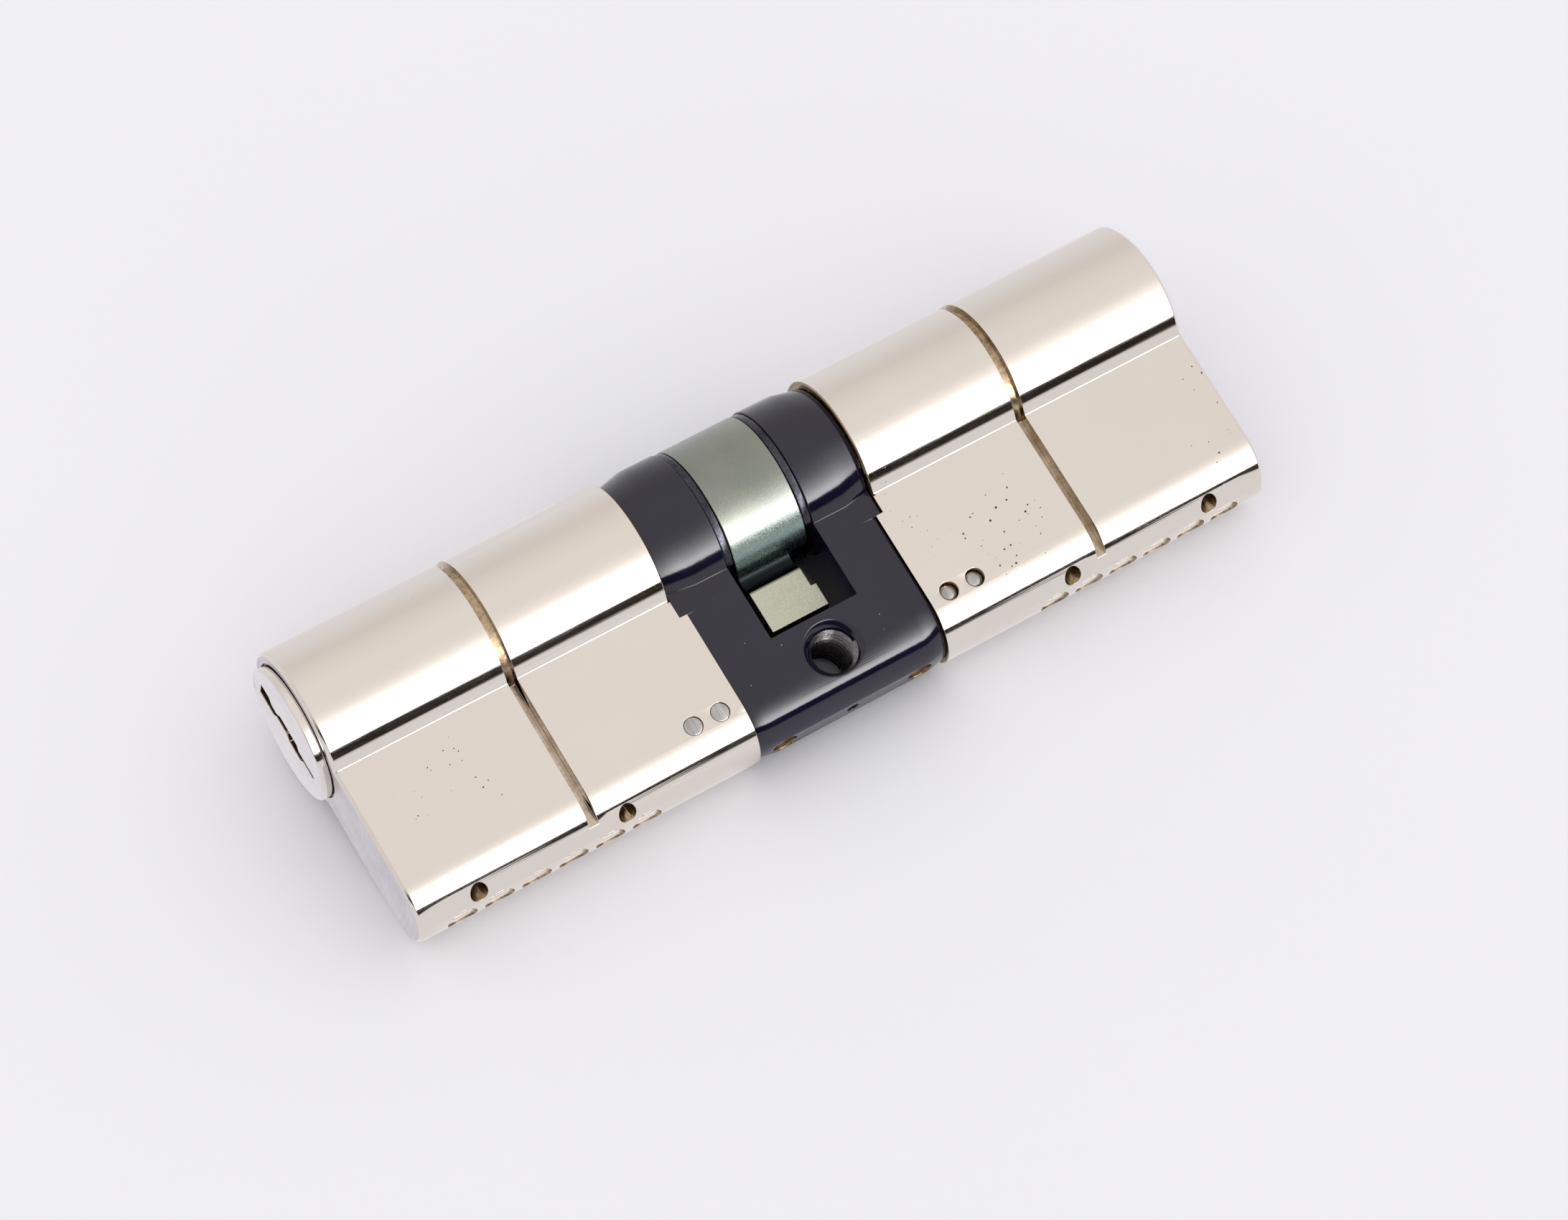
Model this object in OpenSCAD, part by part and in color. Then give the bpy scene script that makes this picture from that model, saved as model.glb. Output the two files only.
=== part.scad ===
// Double lock cylinder of the euro profile, built from two half housings and a centre bridge.
// +X runs along the plugs towards half b, +Z points up from the leg to the barrel.
// The origin is the centre of the fixing screw hole, halfway through the leg.

/* [Profile] */
// Length of each half, from the fixing screw to the outer end face
half_len = 50; // [47:0.5:80]
// Diameter of the barrel
barrel_d = 17; // [16.8:0.1:21]
// Width of the leg, which is also the diameter of its round bottom
leg_w = 10; // [9.4:0.1:12]
// Plug axis down to the bottom of the leg
leg_drop = 24.5; // [24:0.1:30]
// Radius of the inside corner between barrel and leg
corner_r = 0.5; // [0.5:0.05:0.9]
// Chamfer round the outer end of each half
end_chamfer = 0.35; // [0.1:0.05:0.6]

/* [Bridge] */
// Length of the bridge at the leg
bridge_leg_l = 22.2; // [21:0.1:27]
// How much longer the bridge is on each side at the barrel
bridge_step = 0.85; // [0.3:0.05:2]
// Bottom of the barrel down to the step between those two lengths
step_below = 0.5; // [0.1:0.1:2]
// How much smaller the arches are than the barrel, on the radius
arch_inset = 0.1; // [0:0.05:0.4]
// Length of the bevel at both ends of the bridge
bevel_l = 2.3; // [0.5:0.1:3]
// Depth of that bevel on the flat sides
bevel_side = 0.4; // [0.1:0.05:1]
// Depth of that bevel on the arches
bevel_arch = 0.7; // [0.2:0.05:1.2]
// How much higher the bottom of the bridge is than the bottom of the legs
bridge_lift = 0.25; // [0:0.05:0.6]
// Gap between the bridge and each half
joint_gap = 0.05; // [0.02:0.01:0.2]

/* [Fixing screw hole] */
// Plug axis down to the fixing screw
screw_drop = 19.2; // [18.8:0.1:20.2]
// Thread diameter of the fixing screw
screw_d = 5; // [4:0.5:6]
// Diameter of the countersink at each mouth
sink_d = 6.4; // [6.1:0.1:7.2]

/* [Plugs] */
// Diameter of the plug
plug_d = 12.6; // [10.4:0.1:13]
// Running clearance round everything that turns, on the radius
turn_gap = 0.05; // [0.02:0.01:0.08]
// How far the plug's flange reaches past the plug, on the radius
flange_lip = 0.9; // [0.5:0.05:1.2]
// How far the flange of plug a stands out of its end face
flange_out_a = 1; // [0:0.1:2]
// How far the flange of plug b stands out of its end face
flange_out_b = 0.2; // [0:0.1:2]
// Depth of the flange's recess in the end face
flange_in = 0.4; // [0.2:0.1:1]
// Gap round the flange in its recess
flange_gap = 0.2; // [0.1:0.05:0.3]
// End play between pieces that turn on the plug axis
end_gap = 0.05; // [0.03:0.01:0.15]
// Width of the keyway's upper part
key_w = 2.2; // [1.8:0.1:2.6]
// Plug left above the keyway
key_roof = 0.7; // [0.5:0.05:1]
// Plug left below the keyway
key_floor = 1.3; // [0.8:0.05:2]
// Width of the key's tip, in the inner part of the plug
key_tip_w = 2.4; // [1.8:0.1:2.8]

/* [Cam and clutch] */
// How much smaller the cam ring is than the barrel, on the radius
cam_inset = 0.2; // [0.1:0.05:0.5]
// Length of the cam ring along the plug axis
cam_w = 8.3; // [7:0.1:10]
// Plug axis to the tip of the cam's nose
nose_reach = 14.9; // [14:0.1:15.1]
// Gap between the nose and the floor of its window
nose_gap = 0.3; // [0.1:0.05:0.8]
// Thickness of the nose, across its two faces
nose_t = 7.2; // [6:0.1:8]
// Radius of the grooves between ring and nose
neck_r = 1.15; // [0.6:0.05:1.6]
// Middle of those grooves outside the nose's faces
neck_out = 0.3; // [0:0.05:0.8]
// How deep those grooves bite into the ring
neck_bite = 0.05; // [0.02:0.01:0.2]
// How much narrower the nose is than the ring
nose_cut = 1.65; // [0:0.05:3]
// Step on the same side at the neck of the nose
neck_cut = 0.6; // [0.1:0.05:1.5]
// Tip of the nose up to that step
nose_full = 3; // [2:0.5:5]
// How much smaller the plug's boss inside the cam is than the plug, on the radius
boss_step = 0.7; // [0.3:0.05:1.2]
// Depth of the plug's groove for the snap ring, below the boss
groove_depth = 0.8; // [0.4:0.05:1]
// Thickness of the snap ring
clip_t = 0.8; // [0.6:0.05:1.1]
// How much smaller the snap ring is than the barrel, on the radius
clip_inset = 0.25; // [0.1:0.05:1.2]
// Travel of the clutch between the two plugs
clutch_travel = 2; // [1.2:0.1:2.4]
// Thickness of the clutch's middle
clutch_t = 1.6; // [1:0.1:2]
// Gap at the clutch's stops, and past the plug that it has left
clutch_gap = 0.1; // [0.05:0.05:0.3]
// Width of the clutch's dogs and of its lugs
dog_w = 3; // [2:0.1:4]
// Boss left above and below the dogs
dog_wall = 1.6; // [1:0.1:2.5]
// Depth of the lugs' grooves in the cam
lug_depth = 1.1; // [0.6:0.1:1.4]
// Clearance at each side of the dogs and lugs
dog_gap = 0.05; // [0.03:0.01:0.15]

/* [Pins and springs] */
// Number of pin chambers in each half
chambers = 6; // [4:1:6]
// Outer end face to the first chamber
first_pin = 4.75; // [4:0.05:6]
// Distance from one chamber to the next
pin_pitch = 4.2; // [3.9:0.05:4.4]
// Diameter of the chambers
chamber_d = 3; // [2.6:0.1:3.6]
// Clearance round a pin in its chamber, on the radius
pin_gap = 0.05; // [0.02:0.01:0.1]
// Gap between the shear line and the pins on each side of it
shear_gap = 0.06; // [0.03:0.01:0.15]
// Length of the driver pins
driver_l = 6; // [4:0.1:7]
// How far a driver can be pressed down, and a key pin can rise
pin_travel = 1.2; // [0.8:0.1:1.6]
// Room above the longest key pin when it is raised
pin_room = 1.8; // [0.5:0.1:2.5]
// Length of the shortest key pin
key_pin_l = 4.1; // [3.6:0.1:4.6]
// Length step from one key cut depth to the next
cut_step = 0.3; // [0.2:0.05:0.4]
// Wire diameter of the springs
wire_d = 0.36; // [0.25:0.01:0.4]
// Turns in each spring
spring_turns = 8; // [5:1:10]
// How much wider the caps are than the chambers that they close, on the radius
cap_step = 0.15; // [0.05:0.05:0.3]
// Bottom of the leg up to the inner faces of those caps
cap_t = 1.7; // [1.2:0.1:2.5]
// How deep the caps sit under the leg's round bottom
cap_sink = 0.12; // [0:0.02:0.3]
// Clearance of every fixed pin and cap in its hole, on the radius
fixed_gap = 0.01; // [0.01:0.01:0.03]

/* [Cuts and holes in the halves] */
// Outer end face to the middle of the snap-off cut
snap_at = 20; // [18:0.1:22]
// Width of the snap-off cut
snap_w = 1.05; // [0.5:0.05:1.5]
// Depth of the snap-off cut in the barrel
snap_depth = 0.9; // [0.4:0.05:1.2]
// Depth of the snap-off cut in the flat sides, which runs out in the leg's round bottom
snap_side = 1.7; // [0.6:0.05:2]
// Diameter of the drill guard pins
guard_d = 1.9; // [1.4:0.1:2.2]
// How far the drill guards stand off the middle plane
guard_off = 2.8; // [2.6:0.1:3.2]
// Depth of the drill guards' holes, from the bottom
guard_hole = 9; // [6:0.5:12]
// How deep the drill guards sit under the mouth of their holes
guard_sink = 1.6; // [0.5:0.1:3]
// Chambers before each drill guard
guard_after = [1, 5];

/* [Links] */
// Thickness of the link bars
link_t = 4; // [3:0.1:5]
// Height of the link bars
link_h = 6; // [5:0.1:6.6]
// Last pin in the link bars to the end of the bars, at the outer end
link_tail = 2.4; // [1.8:0.1:3]
// Retaining pin to the end of the link bars, at the inner end
link_lead = 2.8; // [2:0.1:3.2]
// Clearance round the link bars in their slots
link_gap = 0.05; // [0.03:0.01:0.15]
// End of the bridge to the first cross pin
cross_off = 2.4; // [1.8:0.1:4]
// First cross pin to the second
cross_pitch = 3.1; // [2.8:0.1:4]
// Diameter of the cross pins
cross_d = 2; // [1.5:0.1:2.5]
// Plug axis down to the cross pins
cross_drop = 19.4; // [18.8:0.1:20]
// How deep the cross pins' ends sit under the flat sides of half a
cross_sink_a = 0.08; // [0:0.02:0.6]
// How deep they sit under the flat sides of half b
cross_sink_b = 0.5; // [0:0.02:0.6]
// End of the bridge to each retaining pin
retain_in = 3.1; // [2.4:0.1:3.6]
// Diameter of the retaining pins
retain_d = 2.7; // [2:0.1:3]
// How deep the retaining pins sit in the bottom of the bridge
retain_sink = 0.5; // [0.1:0.1:1.5]
// Diameter of the small hole under the fixing screw
set_hole_d = 1.3; // [0.8:0.1:2]
// Depth of that hole
set_hole_depth = 1.6; // [0.5:0.1:2]

/* [Hidden] */
$fn = 96;
// overshoot of every cut, so that none ends exactly on a face
eps = 0.5;
sides = ["a", "b"];

nickel = [0.84, 0.80, 0.74];
brass = [0.80, 0.62, 0.32];
black_oxide = [0.13, 0.12, 0.15];
zinc = [0.55, 0.58, 0.50];
steel = [0.62, 0.62, 0.62];

barrel_r = barrel_d / 2;
leg_r = leg_w / 2;
axis_z = screw_drop;              // height of the plug axis above the origin
bottom_z = axis_z - leg_drop;     // bottom of the legs
round_z = bottom_z + leg_r;       // centre of their round bottom
bridge_bottom_z = bottom_z + bridge_lift;
bridge_leg = bridge_leg_l / 2;    // half lengths, measured from the fixing screw
bridge_top = bridge_leg + bridge_step;
bevel_x = bridge_leg - bevel_l;                   // where the bevels start
step_z = axis_z - barrel_r - step_below;
retain_at = bridge_leg - retain_in;               // fixing screw to the pins in the link bars
cross_at = [bridge_leg + cross_off, bridge_leg + cross_off + cross_pitch];
link_in = retain_at - link_lead;
link_out = cross_at[1] + link_tail;

plug_r = plug_d / 2;
plug_bore_r = plug_r + turn_gap;
flange_r = plug_r + flange_lip;
boss_r = plug_r - boss_step;
groove_r = boss_r - groove_depth;
cam_bore_r = boss_r + turn_gap;
cam_r = barrel_r - cam_inset;
cam_x = cam_w / 2;
clip_x = cam_x + end_gap;                         // inner face of the snap ring
arch_x = clip_x + clip_t + end_gap;               // inner face of the arch
window_drop = nose_reach + nose_gap;              // plug axis down to the floor of the cam's window
boss_x = clutch_t / 2 + clutch_travel / 2 + clutch_gap;   // inner end of the plug's boss
dog_l = clutch_travel - 2 * clutch_gap;
dog_h = 2 * (boss_r - dog_wall);
slot_depth = dog_l + clutch_gap;
lug_r = cam_bore_r + lug_depth - turn_gap;
clutch_rest = -clutch_travel / 2;                 // the clutch rests in plug a

pin_r = chamber_d / 2 - pin_gap;
cap_r = chamber_d / 2 + cap_step;
// a pin's flat end keeps inside the plug only below the chord that its own width cuts
key_pin_bottom = sqrt(pow(plug_r, 2) - pow(pin_r, 2)) - shear_gap;
driver_top = plug_bore_r + shear_gap;
driver_bottom = driver_top + driver_l;
cap_drop = leg_drop - cap_t;                      // plug axis down to the caps' inner faces
cuts_a = [3, 1, 4, 2, 0, 3];                      // key cut depths, outermost chamber first
cuts_b = [1, 3, 0, 4, 2, 1];
longest_pin = key_pin_l + max(concat(cuts_a, cuts_b)) * cut_step;
// top of the chambers in the plug, above the plug axis
chamber_top = longest_pin - key_pin_bottom + pin_travel + pin_room;

function pin_x(i) = half_len - first_pin - (i - 1) * pin_pitch;
function guard_x(k) = pin_x(k + 0.5);    // halfway to the next chamber
function cuts(side) = side == "a" ? cuts_a : cuts_b;

// Draws for half b as written, and turned to the other end for half a.
module on_side(side) {
    if (side == "b") children();
    else mirror([1, 0, 0]) children();
}

// A round bar along the plug axis, from x1 to x2.
module along(r, x1, x2) {
    translate([x1, 0, axis_z]) rotate([0, 90, 0]) cylinder(r = r, h = x2 - x1);
}

// The euro profile between x1 and x2, drawn in by `inset` all round.
module profile(x1, x2, inset = 0) {
    along(barrel_r - inset, x1, x2);
    translate([x1, -leg_r + inset, round_z]) cube([x2 - x1, leg_w - 2 * inset, axis_z - round_z]);
    translate([x1, 0, round_z]) rotate([0, 90, 0]) cylinder(r = leg_r - inset, h = x2 - x1);
}

// The small rounded corners where the flat sides run into the barrel.
module corners(x1, x2) {
    out = leg_r + corner_r;
    down = sqrt(pow(barrel_r + corner_r, 2) - pow(out, 2));
    touch = barrel_r / (barrel_r + corner_r);
    for (s = [-1, 1])
        translate([x1, 0, axis_z]) rotate([90, 0, 90]) linear_extrude(x2 - x1)
            difference() {
                polygon([[s * leg_r, -down], [s * out * touch, -down * touch],
                         [s * leg_r * 0.8, -down * touch], [s * leg_r * 0.8, -down]]);
                translate([s * out, -down]) circle(corner_r);
            }
}

// One link bar's room, grown by `gap` on every side.
module link_room(gap) {
    translate([link_in - gap, -link_t / 2 - gap, axis_z - cross_drop - link_h / 2 - gap])
        cube([link_out - link_in + 2 * gap, link_t + 2 * gap, link_h + 2 * gap]);
}

module cross_pin_rods(r, half_y) {
    for (x = cross_at)
        translate([x, half_y, axis_z - cross_drop]) rotate([90, 0, 0]) cylinder(r = r, h = 2 * half_y);
}

module upright(x, y, r, z1, z2) {
    translate([x, y, z1]) cylinder(r = r, h = z2 - z1);
}

module half_body(side) {
    inner_low = bridge_leg + joint_gap;
    inner_top = bridge_top + joint_gap;
    color(nickel) on_side(side) difference() {
        half_shape(inner_low);
        // the barrel and the leg's upper part end further out than the leg
        translate([0, -barrel_d, step_z]) cube([inner_top, 2 * barrel_d, axis_z + barrel_d]);
        // bore for the plug and recess for its flange
        along(plug_bore_r, inner_low - eps, half_len + eps);
        along(flange_r + flange_gap, half_len - flange_in, half_len + eps);
        // chambers, wider at the bottom for their caps
        for (i = [1:chambers]) {
            upright(pin_x(i), 0, chamber_d / 2, bottom_z - eps, axis_z);
            upright(pin_x(i), 0, cap_r, bottom_z - eps, bottom_z + cap_t);
        }
        for (k = guard_after)
            upright(guard_x(k), -guard_off, guard_d / 2, bottom_z - eps, bottom_z + guard_hole);
        link_room(link_gap);
        cross_pin_rods(cross_d / 2, leg_r + eps);
        snap_cut();
    }
}

// A half's outer shape from x1 to the end face, with its chamfer.
module half_shape(x1) {
    c = end_chamfer;
    x = half_len;
    profile(x1, x - c);
    corners(x1, x - c);
    translate([x - c, 0, axis_z]) rotate([0, 90, 0]) cylinder(r1 = barrel_r, r2 = barrel_r - c, h = c);
    translate([0, 0, round_z]) linear_extrude(axis_z - round_z)
        polygon([[x - c, -leg_r], [x, -leg_r + c], [x, leg_r - c], [x - c, leg_r]]);
    translate([x - c, 0, round_z]) rotate([0, 90, 0]) cylinder(r1 = leg_r, r2 = leg_r - c, h = c);
}

// The groove where a half can be snapped off short: round the barrel and down both flat sides.
module snap_cut() {
    x = half_len - snap_at;
    core = leg_r - snap_side;
    difference() {
        translate([x - snap_w / 2, -barrel_d, bottom_z - eps])
            cube([snap_w, 2 * barrel_d, axis_z + barrel_d]);
        along(barrel_r - snap_depth, x - snap_w, x + snap_w);
        translate([x - snap_w, -core, bottom_z - 2 * eps]) cube([2 * snap_w, 2 * core, leg_drop]);
    }
}

module bridge() {
    arch_r = barrel_r - arch_inset;
    color(black_oxide) difference() {
        union() {
            // arches with bevelled ends
            along(arch_r, -bevel_x, bevel_x);
            for (side = sides) on_side(side)
                translate([bevel_x, 0, axis_z]) rotate([0, 90, 0])
                    cylinder(r1 = arch_r, r2 = arch_r - bevel_arch, h = bridge_top - bevel_x);
            // flat sides of the leg block, upper and lower part, with the same bevel
            beveled_slab(bridge_top, step_z, axis_z);
            beveled_slab(bridge_leg, round_z, step_z);
            // round bottom of the leg block
            translate([-bridge_leg, 0, round_z]) rotate([0, 90, 0]) cylinder(r = leg_r, h = bridge_leg_l);
        }
        for (side = sides) on_side(side) {
            bottom_bevel();
            link_room(link_gap);
            upright(retain_at, 0, retain_d / 2, bottom_z - eps, axis_z - cross_drop + link_h / 2);
        }
        along(plug_bore_r, -bridge_top - eps, bridge_top + eps);
        // window for the cam
        translate([-arch_x, -barrel_d, axis_z - window_drop])
            cube([2 * arch_x, 2 * barrel_d, window_drop + barrel_d]);
        // flat bottom, a little above the bottom of the legs
        translate([-half_len, -leg_w, bottom_z - eps]) cube([2 * half_len, 2 * leg_w, eps + bridge_lift]);
        screw_hole();
        upright(0, 0, set_hole_d / 2, bottom_z - eps, bridge_bottom_z + set_hole_depth);
    }
}

// A slab of the leg's width from -x to x, thinner towards both ends.
module beveled_slab(x, z1, z2) {
    translate([0, 0, z1]) linear_extrude(z2 - z1)
        polygon([[-bevel_x, -leg_r], [bevel_x, -leg_r], [x, -leg_r + bevel_side], [x, leg_r - bevel_side],
                 [bevel_x, leg_r], [-bevel_x, leg_r], [-x, leg_r - bevel_side], [-x, -leg_r + bevel_side]]);
}

// Takes the bevel round the leg's round bottom.
module bottom_bevel() {
    translate([bevel_x, 0, round_z]) difference() {
        translate([0, -leg_w, -leg_w]) cube([bevel_l + eps, 2 * leg_w, leg_w]);
        rotate([0, 90, 0]) cylinder(r1 = leg_r, r2 = leg_r - bevel_side, h = bevel_l);
    }
}

module screw_hole() {
    sink = (sink_d - screw_d) / 2;
    rotate([90, 0, 0]) cylinder(d = screw_d, h = leg_w + 2 * eps, center = true);
    for (s = [-1, 1])
        rotate([90 * s, 0, 0]) translate([0, 0, leg_r - sink])
            cylinder(d1 = screw_d, d2 = sink_d + 2 * eps, h = sink + eps);
}

// Keyway outline in the plug: a jogged slot, seen from the outer end.
module keyway_outline() {
    top = plug_r - key_roof;
    low = key_floor - plug_r;
    w = key_w / 2;
    jog = key_w * 0.36;
    polygon([[-w, top], [w, top], [w, top * 0.52], [w - jog, top * 0.42], [w - jog, top * 0.05],
             [w, -0.3], [w, low * 0.5], [w - jog, low * 0.6], [w - jog, low],
             [-w + jog, low], [-w + jog, low * 0.4], [-w, low * 0.3], [-w, top * 0.3],
             [-w + jog, top * 0.42], [-w + jog, top * 0.62], [-w, top * 0.72]]);
}

module plug(side) {
    out = side == "a" ? flange_out_a : flange_out_b;
    color(brass) on_side(side) difference() {
        union() {
            along(flange_r, half_len - flange_in + end_gap, half_len + out);
            along(plug_r, arch_x, half_len);
            along(groove_r, clip_x, arch_x);
            along(boss_r, boss_x, clip_x);
        }
        // full keyway as far as the last chamber, then a channel for the key's tip
        translate([pin_x(chambers) - chamber_d, 0, axis_z]) rotate([90, 0, 90])
            linear_extrude(half_len) keyway_outline();
        translate([boss_x - eps, -key_tip_w / 2, axis_z - key_tip_w])
            cube([half_len / 2, key_tip_w, 2 * key_tip_w]);
        // slot for the clutch's dog
        translate([boss_x - eps, -dog_w / 2 - dog_gap, axis_z - dog_h / 2 - dog_gap])
            cube([slot_depth + eps, dog_w + 2 * dog_gap, dog_h + 2 * dog_gap]);
        for (i = [1:chambers])
            upright(pin_x(i), 0, chamber_d / 2, axis_z - plug_d, axis_z + chamber_top);
    }
}

module clip(side) {
    inner = groove_r + turn_gap;
    color(black_oxide) on_side(side) difference() {
        along(barrel_r - clip_inset, clip_x + end_gap / 2, clip_x + end_gap / 2 + clip_t);
        along(inner, 0, half_len);
        // the ring's mouth
        translate([0, -inner, axis_z - barrel_d]) cube([half_len, 2 * inner, barrel_d]);
    }
}

module cam() {
    out = nose_t / 2 + neck_out;
    down = sqrt(pow(cam_r + neck_r - neck_bite, 2) - pow(out, 2));
    color(zinc) difference() {
        union() {
            along(cam_r, -cam_x, cam_x);
            // nose with a round tip
            intersection() {
                translate([-cam_x, -nose_t / 2, axis_z - nose_reach])
                    cube([cam_w - nose_cut, nose_t, nose_reach]);
                along(nose_reach, -cam_x - eps, cam_x + eps);
            }
        }
        along(cam_bore_r, -cam_w, cam_w);
        // grooves that make the neck between ring and nose
        for (y = [-out, out])
            translate([-cam_w, y, axis_z - down]) rotate([0, 90, 0]) cylinder(r = neck_r, h = 2 * cam_w);
        // grooves for the clutch's lugs
        translate([-cam_w, -cam_bore_r - lug_depth, axis_z - dog_w / 2 - dog_gap])
            cube([2 * cam_w, 2 * (cam_bore_r + lug_depth), dog_w + 2 * dog_gap]);
        // step at the neck
        translate([cam_x - nose_cut - neck_cut, -barrel_d, axis_z - nose_reach + nose_full])
            cube([cam_w, 2 * barrel_d, nose_reach - nose_full - cam_r]);
    }
}

module clutch() {
    disc_r = cam_bore_r - turn_gap;
    middle = clutch_rest - clutch_t / 2;
    color(steel) union() {
        along(disc_r, middle, middle + clutch_t);
        translate([middle, -lug_r, axis_z - dog_w / 2]) cube([clutch_t, 2 * lug_r, dog_w]);
        translate([middle - dog_l, -dog_w / 2, axis_z - dog_h / 2])
            cube([clutch_t + 2 * dog_l, dog_w, dog_h]);
    }
}

module link_bar(side) {
    color(steel) on_side(side) difference() {
        link_room(0);
        cross_pin_rods(cross_d / 2, leg_w);
        upright(retain_at, 0, retain_d / 2, bottom_z, axis_z);
    }
}

module cross_pins(side) {
    sink = side == "a" ? cross_sink_a : cross_sink_b;
    color(steel) on_side(side) intersection() {
        cross_pin_rods(cross_d / 2 - fixed_gap, leg_r - sink);
        // ends ground to the round of the leg, where they reach it
        profile(bridge_leg, link_out, sink);
    }
}

module retaining_pins() {
    color(brass) for (side = sides) on_side(side)
        upright(retain_at, 0, retain_d / 2 - fixed_gap, bridge_bottom_z + retain_sink,
                axis_z - cross_drop + link_h / 2 - link_gap);
}

module drill_guards(side) {
    mouth = round_z - sqrt(pow(leg_r, 2) - pow(guard_off, 2));
    color(steel) on_side(side)
        for (k = guard_after)
            upright(guard_x(k), -guard_off, guard_d / 2 - fixed_gap, mouth + guard_sink,
                    bottom_z + guard_hole - fixed_gap);
}

// Caps, each ground to the leg's round bottom and a little deeper.
module chamber_caps(side) {
    color(brass) on_side(side)
        for (i = [1:chambers])
            intersection() {
                upright(pin_x(i), 0, cap_r - fixed_gap, bottom_z - eps, bottom_z + cap_t - fixed_gap);
                translate([pin_x(i) - 2 * cap_r, 0, round_z]) rotate([0, 90, 0])
                    cylinder(r = leg_r - cap_sink, h = 4 * cap_r);
            }
}

// A key pin: flat at the shear line, with a cone that the key's cut lifts.
module key_pin(side, i) {
    tip = 0.9;
    length = key_pin_l + cuts(side)[i - 1] * cut_step;
    color(brass) on_side(side) translate([pin_x(i), 0, axis_z - key_pin_bottom]) {
        cylinder(r = pin_r, h = length - tip);
        translate([0, 0, length - tip]) cylinder(r1 = pin_r, r2 = pin_r - tip, h = tip);
    }
}

// A driver pin with a spool-shaped waist.
module driver(side, i) {
    waist = driver_l / 3;
    color(steel) on_side(side) translate([pin_x(i), 0, axis_z - driver_bottom]) {
        cylinder(r = pin_r, h = waist);
        translate([0, 0, waist]) cylinder(r = pin_r * 0.75, h = waist);
        translate([0, 0, 2 * waist]) cylinder(r = pin_r, h = waist);
    }
}

// A coil spring as a swept tube, with its ends flat under the driver and on the cap.
module spring(side, i) {
    steps = 10;
    ring = 5;
    coil_r = pin_r - wire_d / 2 - pin_gap;
    z1 = axis_z - cap_drop + wire_d / 2 + fixed_gap;
    z2 = axis_z - driver_bottom - wire_d / 2 - fixed_gap;
    count = steps * spring_turns;
    points = [for (k = [0:count], j = [0:ring - 1])
        let (turn = 360 * k / steps, round = 360 * j / ring, r = coil_r + wire_d / 2 * cos(round))
        [r * cos(turn), r * sin(turn), z1 + (z2 - z1) * k / count + wire_d / 2 * sin(round)]];
    walls = [for (k = [0:count - 1], j = [0:ring - 1], upper = [0, 1])
        let (n = (j + 1) % ring, here = k * ring, next = here + ring)
        upper == 0 ? [here + j, here + n, next + n] : [here + j, next + n, next + j]];
    ends = [for (j = [1:ring - 2], far = [0, 1])
        far == 0 ? [0, j + 1, j] : [count * ring, count * ring + j, count * ring + j + 1]];
    color(steel) on_side(side) translate([pin_x(i), 0, 0]) polyhedron(points, concat(walls, ends));
}

half_body("a");  // half_body_a
half_body("b");  // half_body_b
bridge();
plug("a");  // plug_a
plug("b");  // plug_b
clip("a");  // clip_a
clip("b");  // clip_b
cam();
clutch();
link_bar("a");  // link_bar_a
link_bar("b");  // link_bar_b
cross_pins("a");  // cross_pins_a
cross_pins("b");  // cross_pins_b
retaining_pins();
drill_guards("a");  // drill_guards_a
drill_guards("b");  // drill_guards_b
chamber_caps("a");  // chamber_caps_a
chamber_caps("b");  // chamber_caps_b
for (s = sides, i = [1:chambers]) {
    key_pin(s, i);
    driver(s, i);
    spring(s, i);
}
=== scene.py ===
import math
import bmesh
import bpy
from mathutils import Matrix, Vector


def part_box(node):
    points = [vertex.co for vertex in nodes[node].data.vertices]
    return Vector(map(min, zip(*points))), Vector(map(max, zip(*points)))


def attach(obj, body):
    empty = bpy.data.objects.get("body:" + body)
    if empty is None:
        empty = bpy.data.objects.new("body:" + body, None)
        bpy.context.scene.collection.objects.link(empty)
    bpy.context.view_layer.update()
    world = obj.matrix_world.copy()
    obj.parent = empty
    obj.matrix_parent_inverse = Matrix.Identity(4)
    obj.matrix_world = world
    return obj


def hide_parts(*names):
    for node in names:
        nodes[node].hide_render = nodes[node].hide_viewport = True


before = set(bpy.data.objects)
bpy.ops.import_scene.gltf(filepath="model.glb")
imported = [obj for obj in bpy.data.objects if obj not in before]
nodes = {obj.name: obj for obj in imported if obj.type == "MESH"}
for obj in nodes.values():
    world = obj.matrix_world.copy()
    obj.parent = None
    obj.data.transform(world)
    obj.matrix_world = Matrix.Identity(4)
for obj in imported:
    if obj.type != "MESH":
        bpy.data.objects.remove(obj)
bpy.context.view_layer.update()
mm = 0.001  # pieces are shaped in millimetres and brought to metres by finishPiece
sides = ("a", "b")
pinNumbers = range(1, 1 + sum(name.startswith("key_pin_a") for name in nodes))


def boxOf(node):  # a node's corners in millimetres
    low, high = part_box(node)
    return low / mm, high / mm


halfLow, halfHigh = boxOf("half_body_b")
bridgeLow, bridgeHigh = boxOf("bridge")
barrelRadius = halfHigh.y
axisZ = halfHigh.z - barrelRadius
endX = halfHigh.x
print("frame loaded:", len(nodes), "nodes")


def newMaterial(name):
    material = bpy.data.materials.new(name)
    material.use_nodes = True
    tree = material.node_tree
    return material, tree, tree.nodes["Principled BSDF"]


def node(tree, kind, **values):
    made = tree.nodes.new(kind)
    for key, value in values.items():
        if key in made.inputs:
            made.inputs[key].default_value = value
        else:
            setattr(made, key, value)
    return made


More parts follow.
